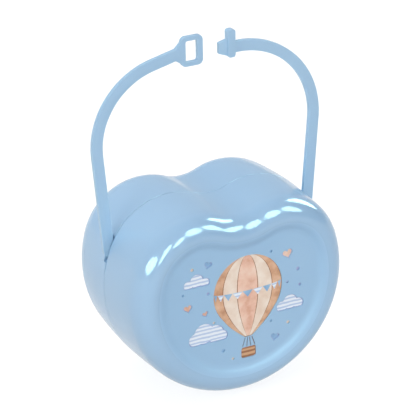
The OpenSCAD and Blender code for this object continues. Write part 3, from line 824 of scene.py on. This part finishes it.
# the bag, a circle down to the angle at which it leaves for the neck
BALLOON_X, BALLOON_Z, BALLOON_R, BALLOON_LEAVE = 2.0, 42.0, 14.2, -38
NECK_Z, NECK_W, BAG_SWELL = 23.2, 2.8, 0.9
BAG_SEAMS = [-1, -0.72, -0.3, 0.3, 0.72, 1]    # as shares of the bag's half width
ROPE_PLACES, ROPE_W, ROPE_FOOT = (-1, -0.3, 0.3, 1), 0.36, 0.42
BASKET_Z, BASKET_W, BASKET_H, BASKET_CORNER = 16.9, 6.2, 4.4, 1.0
CLOUDS = [
    # x, z of the flat foot, then the puffs as (dx, dz, radius)
    (-14.6, 24.4, [(-5.2, 2.4, 2.8), (-1.6, 4.2, 4.2), (3.0, 3.2, 3.6), (5.8, 1.8, 2.3)]),
    (19.6, 30.2, [(-3.5, 1.6, 2.3), (0.0, 2.9, 3.1), (3.4, 1.7, 2.2)]),
    (-19.0, 48.0, [(-3.2, 1.4, 2.0), (0.2, 2.5, 2.8), (3.6, 1.3, 1.9)]),
]
# x, z, size and turn in degrees
HEARTS = [(18.6, 53.0, 2.3, 14), (-14.2, 56.0, 1.7, -18), (-22.6, 40.4, 1.9, 10),
          (13.0, 20.4, 1.9, -12), (-15.6, 36.6, 1.4, 20)]
# x, z and radius
DOTS = [(22.8, 46.0, 0.75), (11.6, 55.6, 0.6), (-20.6, 55.4, 0.7), (-14.4, 44.6, 0.6),
        (-8.6, 20.0, 0.75), (18.6, 25.0, 0.7), (23.6, 39.4, 0.6), (-24.6, 46.2, 0.5),
        (-12.2, 32.2, 0.55), (18.4, 41.6, 0.5), (11.4, 27.4, 0.5), (-4.6, 15.6, 0.6)]


def balloon_half_width(z):
    """Half the width of the balloon's bag at a height: round above, slimmer towards the neck."""
    leave = math.radians(BALLOON_LEAVE)
    z_leave = BALLOON_Z + BALLOON_R * math.sin(leave)
    if z >= z_leave:
        return math.sqrt(max(BALLOON_R ** 2 - (z - BALLOON_Z) ** 2, 0))
    share = (z - NECK_Z) / (z_leave - NECK_Z)
    swell = BAG_SWELL * math.sin(math.pi * share)
    return NECK_W / 2 + (BALLOON_R * math.cos(leave) - NECK_W / 2) * share + swell


def gore(k0, k1, low, high):
    """A strip of the bag between two seams; the seams are shares of its half width."""
    steps = 28
    shares = [0.5 - 0.5 * math.cos(math.pi * i / steps) for i in range(steps + 1)]
    heights = [low + (high - low) * share for share in shares]
    left = [(BALLOON_X + k0 * balloon_half_width(z), z) for z in heights]
    right = [(BALLOON_X + k1 * balloon_half_width(z), z) for z in heights]
    return right + left[::-1]


def cloud(place, shrink):
    """The outline of a cloud, its puffs over a flat foot, as far as rays from its middle reach."""
    x0, z0, puffs = place
    rise = 1.6
    points = []
    for degrees in range(0, 360, 3):
        dx, dz = math.cos(math.radians(degrees)), math.sin(math.radians(degrees))
        reach = 0.5
        for px, pz, r in puffs:
            along = px * dx + (pz - rise) * dz
            off = px * px + (pz - rise) ** 2 - along * along
            if off < (r - shrink) ** 2:
                reach = max(reach, along + math.sqrt((r - shrink) ** 2 - off))
        if dz < 0:
            reach = min(reach, (rise - shrink) / -dz)
        points.append((x0 + reach * dx, z0 + rise + reach * dz))
    return points


def heart(x, z, size, turn, shrink=0.0):
    """A heart: the well-known curve in sines and cosines, here about two units wide."""
    steps = 48
    k, t = size - shrink, math.radians(turn)
    points = []
    for i in range(steps):
        a = 2 * math.pi * i / steps
        hx = 16 * math.sin(a) ** 3 / 17
        hz = (13 * math.cos(a) - 5 * math.cos(2 * a) - 2 * math.cos(3 * a) - math.cos(4 * a)) / 17
        points.append((x + k * (hx * math.cos(t) - hz * math.sin(t)),
                       z + k * (hx * math.sin(t) + hz * math.cos(t))))
    return points


def bar(x0, z0, x1, z1, width):
    """A thin straight line as a polygon."""
    length = math.hypot(x1 - x0, z1 - z0)
    nx, nz = -(z1 - z0) / length * width / 2, (x1 - x0) / length * width / 2
    return [(x0 + nx, z0 + nz), (x0 - nx, z0 - nz), (x1 - nx, z1 - nz), (x1 + nx, z1 + nz)]


BAG = gore(-1, 1, NECK_Z, BALLOON_Z + BALLOON_R)
BASKET = rounded(BALLOON_X, BASKET_Z, BASKET_W, BASKET_H, BASKET_CORNER)
ROPES = [bar(BALLOON_X + k * NECK_W / 2, NECK_Z - 0.25,
             BALLOON_X + k * BASKET_W * ROPE_FOOT, BASKET_Z + BASKET_H / 2 + 0.2, ROPE_W)
         for k in ROPE_PLACES]


def inlay(points, top):
    """A flat of colour, from inside the panel's wall up to just below its face."""
    return prism("inlay", points, PANEL_Y - INLAY_FOOT, PANEL_Y - top, FRONT)


def pockets():
    """What the picture is sunk into, as one cutter."""
    plans = [BAG, BASKET] + ROPES + [cloud(c, 0) for c in CLOUDS]
    plans += [heart(*h) for h in HEARTS] + [disc(x, z, r, 24) for x, z, r in DOTS]
    return join("pockets", [prism("pocket", plan, PANEL_Y - SINK, PANEL_Y + 1, FRONT)
                            for plan in plans])


def pennants(low, deep, count):
    """A sagging row of small flags across the bag, narrower towards its sides as on a ball."""
    span, turn, sag, gap = 0.94, 1.45, 1.3, 0.08
    w = balloon_half_width(low)
    flags = []
    for i in range(count):
        ends = [-span + 2 * span * (i + side) / count for side in (0, 1)]
        x0, x1 = (BALLOON_X + w * math.sin(k * turn) / math.sin(turn) for k in ends)
        z0, z1 = (low - sag * (1 - k * k) for k in ends)
        flags.append([(x0 + gap, z0), (x1 - gap, z1), ((x0 + x1) / 2, (z0 + z1) / 2 - deep)])
    return flags


def picture():
    """The flats of colour, by ink."""
    hair, seam, cloud_edge, heart_edge = 0.01, 0.012, 0.3, 0.35
    washes = {name: [] for name in ("line_brown", "wash_tan", "wash_cream", "wash_peach",
                                    "wash_blue", "wash_stripe", "wash_lilac", "basket_weave")}

    def paint(name, points, top):
        washes[name].append(inlay(points, top))

    for plan in [BAG, BASKET] + ROPES:
        paint("line_brown", plan, BASE_TOP)
    low, high = NECK_Z + EDGE_W, BALLOON_Z + BALLOON_R - EDGE_W
    for i, name in enumerate(("wash_tan", "wash_cream", "wash_peach", "wash_cream", "wash_tan")):
        paint(name, gore(BAG_SEAMS[i] + seam, BAG_SEAMS[i + 1] - seam, low, high), WASH_TOP)
    for i, flag in enumerate(pennants(BALLOON_Z + 1.2, 2.6, 9)):
        paint(("wash_blue", "wash_stripe")[i % 2], flag, MARK_TOP)
    weave = rounded(BALLOON_X, BASKET_Z, BASKET_W - 2 * EDGE_W, BASKET_H - 2 * EDGE_W, 0.8)
    paint("basket_weave", weave, WASH_TOP)
    band_z = BASKET_Z + BASKET_H / 2 - 0.5
    paint("line_brown", rounded(BALLOON_X, band_z, BASKET_W - 0.1, 0.7, 0.3), MARK_TOP)
    for place in CLOUDS:
        paint("wash_lilac", cloud(place, hair), BASE_TOP)
        paint("wash_stripe", cloud(place, cloud_edge), WASH_TOP)
    for i, h in enumerate(HEARTS):
        paint("wash_lilac", heart(*h, hair), BASE_TOP)
        paint(("wash_peach", "wash_blue")[i % 2], heart(*h, heart_edge), WASH_TOP)
    for i, (x, z, r) in enumerate(DOTS):
        paint(("wash_lilac", "wash_blue", "wash_cream")[i % 3], disc(x, z, r - hair, 24), BASE_TOP)
    return washes


# ---------------------------------------- pieces on the frame
front = wear(tidy(join("front_case_moulding", front_case())), CASE_PLASTIC)
# The satin finish covers the panel, its cove and most of the shoulder. The depth keeps it off the
# inside of the wall.
SATIN_DEPTH, SATIN_INSET = 1.0, FRONT_CREST + 1.2
front.data.materials.append(PANEL_PLASTIC)
for polygon in front.data.polygons:
    x, y, z = polygon.center / MM
    if y < -PANEL_Y + SATIN_DEPTH and inset_at(x, z) > SATIN_INSET:
        polygon.material_index = 1
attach(front, "front_cover")
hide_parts("front_shell")

rear = wear(tidy(join("rear_case_moulding", rear_case())), CASE_PLASTIC)
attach(rear, "rear_case")
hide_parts("rear_shell")

left_strap = loop_strap()
left_strap.name = "loop_strap_moulding"
wear(tidy(left_strap, 40), STRAP_PLASTIC)
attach(left_strap, "loop_band")
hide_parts("loop_strap")

right_strap = hook_strap()
right_strap.name = "hook_strap_moulding"
wear(tidy(right_strap, 40), STRAP_PLASTIC)
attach(right_strap, "hook_band")
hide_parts("hook_strap")

tray = wear(tidy(join("soother_tray_moulding", soother_tray()), 40), TRAY_PLASTIC)
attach(tray, "rear_case")
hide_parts("soother_tray")

wear(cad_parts["hinge_pin"], PIN_STEEL)

for ink_name, flats in picture().items():
    piece = wear(tidy(join("picture_" + ink_name, flats)), INKS[ink_name])
    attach(piece, "front_cover")

# ---------------------------------------- camera
# Azimuths run clockwise from the front, seen from above; distances are in metres.
AZIMUTH, ELEVATION, DISTANCE, ROLL = 27.15, 25.373, 0.8764, 1.05
TARGET = Vector((0, 0, 0.04337))
LENS, SHIFT = 201.8, (-0.0024, 0.1245)


def direction_from(azimuth, elevation):
    a, e = math.radians(azimuth), math.radians(elevation)
    return Vector((-math.sin(a) * math.cos(e), -math.cos(a) * math.cos(e), math.sin(e)))


camera_data = bpy.data.cameras.new("camera")
camera_data.sensor_width = 36
camera_data.lens = LENS
camera_data.shift_x, camera_data.shift_y = SHIFT
camera_data.clip_start = 0.01
camera = add_object("camera", camera_data)
camera.location = TARGET + DISTANCE * direction_from(AZIMUTH, ELEVATION)
look = (TARGET - camera.location).to_track_quat("-Z", "Y").to_matrix().to_4x4()
roll = Matrix.Rotation(math.radians(-ROLL), 4, "Z")
camera.rotation_euler = (look @ roll).to_euler()
scene.camera = camera


# ---------------------------------------- floor, light and background
# The floor's own grey, its white for the camera, what it throws back at the object, and how much
# of its white gloss shows
FLOOR_GREY, FLOOR_WHITE, FLOOR_BOUNCE, FLOOR_IN_GLOSS = 0.28, 0.84, 0.2, 0.55
# The world's light, and where its room turns from dark over the front to light behind the object,
# as gloss shows it
WORLD_LIGHT, ROOM_DARK_TO, ROOM_LIGHT_FROM = 0.7, 0.56, 0.76
# Softboxes: name, azimuth, elevation, distance, width, height and power
SOFTBOXES = [
    ("key", 80, 18, 1.2, 0.7, 0.5, 4.5),
    ("fill", -5, 4, 1.4, 0.8, 0.8, 6.8),
    ("rim", 185, 58, 1.2, 0.8, 0.5, 4.0),
    ("back", 205, 4, 1.3, 0.8, 0.8, 4.4),
]
# Tubes that only gloss shows: azimuth, elevation, the span of azimuths and the height, in degrees
TUBES = [(67, 20, 38, 25), (30, 28, 16, 34), (7, 35, 16, 27), (-17.5, 50, 32, 33),
         (-51.5, 41, 26, 31), (-106, 33, 20, 40)]
TUBE_DISTANCE, TUBE_POWER, TUBE_COLOUR = 0.9, 4.2, (0.62, 1.0, 1.0)


def sum_of(nodes, links, terms):
    """Adds up outputs, each times its own factor."""
    total = None
    for output, factor in terms:
        add = nodes.new("ShaderNodeMath")
        add.operation = "MULTIPLY_ADD"
        add.inputs[1].default_value = factor
        add.inputs[2].default_value = 0.0
        links.new(output, add.inputs[0])
        if total is not None:
            links.new(total, add.inputs[2])
        total = add.outputs[0]
    return total


def mix_shaders(nodes, links, share, first, second):
    """The first shader, and the second one for the rays that the share picks out."""
    mix = nodes.new("ShaderNodeMixShader")
    links.new(share, mix.inputs["Fac"])
    links.new(first, mix.inputs[1])
    links.new(second, mix.inputs[2])
    return mix.outputs[0]


def emission(nodes, strength):
    node = nodes.new("ShaderNodeEmission")
    dial(node, {"Strength": strength})
    return node.outputs[0]


def white_floor():
    """A pale floor that takes the object's shadow and has the white of the background behind it.

    Its white is see-through, so a cover that swings below the foot stays in sight.
    """
    material, nodes, links, shader = node_tree("studio_white")
    dial(shader, {"Base Color": (FLOOR_GREY, FLOOR_GREY, FLOOR_GREY, 1), "Roughness": 0.9,
                  "Specular IOR Level": 0.0})
    rays = nodes.new("ShaderNodeLightPath").outputs
    clear = nodes.new("ShaderNodeBsdfTransparent")
    dial(clear, {"Color": (FLOOR_WHITE, FLOOR_WHITE, FLOOR_WHITE, 1)})
    share = sum_of(nodes, links, [(rays["Is Glossy Ray"], FLOOR_IN_GLOSS),
                                  (rays["Is Transmission Ray"], FLOOR_IN_GLOSS)])
    in_gloss = mix_shaders(nodes, links, share,
                           emission(nodes, FLOOR_BOUNCE), emission(nodes, FLOOR_WHITE))
    seen = mix_shaders(nodes, links, rays["Is Camera Ray"], in_gloss, clear.outputs[0])
    add = nodes.new("ShaderNodeAddShader")
    links.new(shader.outputs[0], add.inputs[0])
    links.new(seen, add.inputs[1])
    through = nodes.new("ShaderNodeBsdfTransparent")
    lit = mix_shaders(nodes, links, rays["Is Shadow Ray"], add.outputs[0], through.outputs[0])
    links.new(lit, nodes["Material Output"].inputs["Surface"])
    far = 4
    plane = make_object("floor", [(-far, -far, 0), (far, -far, 0), (far, far, 0), (-far, far, 0)],
                        [(0, 1, 2, 3)], 1.0)
    wear(plane, material)


def studio_world():
    """White behind the object, and for gloss a room that is dark over the object's front."""
    world = bpy.data.worlds.new("studio")
    scene.world = world
    world.use_nodes = True
    nodes, links = world.node_tree.nodes, world.node_tree.links
    light = nodes["Background"]
    dial(light, {"Color": (0.93, 0.96, 1.0, 1), "Strength": WORLD_LIGHT})
    white = nodes.new("ShaderNodeBackground")
    dial(white, {"Color": (1, 1, 1, 1), "Strength": 1.0})
    room = nodes.new("ShaderNodeBackground")
    dial(room, {"Strength": 1.0})
    place = nodes.new("ShaderNodeTexCoord")
    parts = nodes.new("ShaderNodeSeparateXYZ")
    ramp = colour_ramp(nodes, ROOM_DARK_TO, (0.1, 0.14, 0.2, 1), ROOM_LIGHT_FROM, (0.56, 0.64, 0.74, 1))
    # from -1, straight ahead of the object, and 1, straight behind it, to the ramp's 0 and 1
    shift = nodes.new("ShaderNodeMath")
    shift.operation = "MULTIPLY_ADD"
    shift.inputs[1].default_value = 0.5
    shift.inputs[2].default_value = 0.5
    links.new(place.outputs["Generated"], parts.inputs[0])
    links.new(parts.outputs["Y"], shift.inputs[0])
    links.new(shift.outputs[0], ramp.inputs["Fac"])
    links.new(ramp.outputs["Color"], room.inputs["Color"])
    rays = nodes.new("ShaderNodeLightPath").outputs
    gloss = mix_shaders(nodes, links, rays["Is Glossy Ray"], light.outputs[0], room.outputs[0])
    seen = sum_of(nodes, links, [(rays["Is Camera Ray"], 1.0), (rays["Is Transmission Ray"], 1.0)])
    mix = mix_shaders(nodes, links, seen, gloss, white.outputs[0])
    links.new(mix, nodes["World Output"].inputs["Surface"])


def lamp(name, azimuth, elevation, distance, width, height, power, colour=(1, 1, 1),
         in_gloss=False, shape="RECTANGLE"):
    """A lamp that either lights the object or only shows in its gloss."""
    data = bpy.data.lights.new(name, "AREA")
    data.shape = shape
    data.size, data.size_y = width, height
    data.energy = power
    data.color = colour
    obj = add_object(name, data)
    obj.location = TARGET + distance * direction_from(azimuth, elevation)
    obj.rotation_euler = (TARGET - obj.location).to_track_quat("-Z", "Y").to_euler()
    obj.visible_diffuse = not in_gloss
    obj.visible_glossy = in_gloss
    obj.visible_transmission = in_gloss


def strip_lights():
    """A row of tubes over the front: they show in the gloss as a dashed line along the rim."""
    def size(degrees):
        return 2 * TUBE_DISTANCE * math.tan(math.radians(degrees / 2))

    for i, (azimuth, elevation, wide, tall) in enumerate(TUBES):
        wide *= math.cos(math.radians(elevation))
        lamp(f"tube_{i}", azimuth, elevation, TUBE_DISTANCE, size(wide), size(tall),
             TUBE_POWER * wide * tall / 500, TUBE_COLOUR, True, "ELLIPSE")


white_floor()
studio_world()
for softbox in SOFTBOXES:
    lamp(*softbox)
strip_lights()

scene.view_settings.view_transform = "Standard"
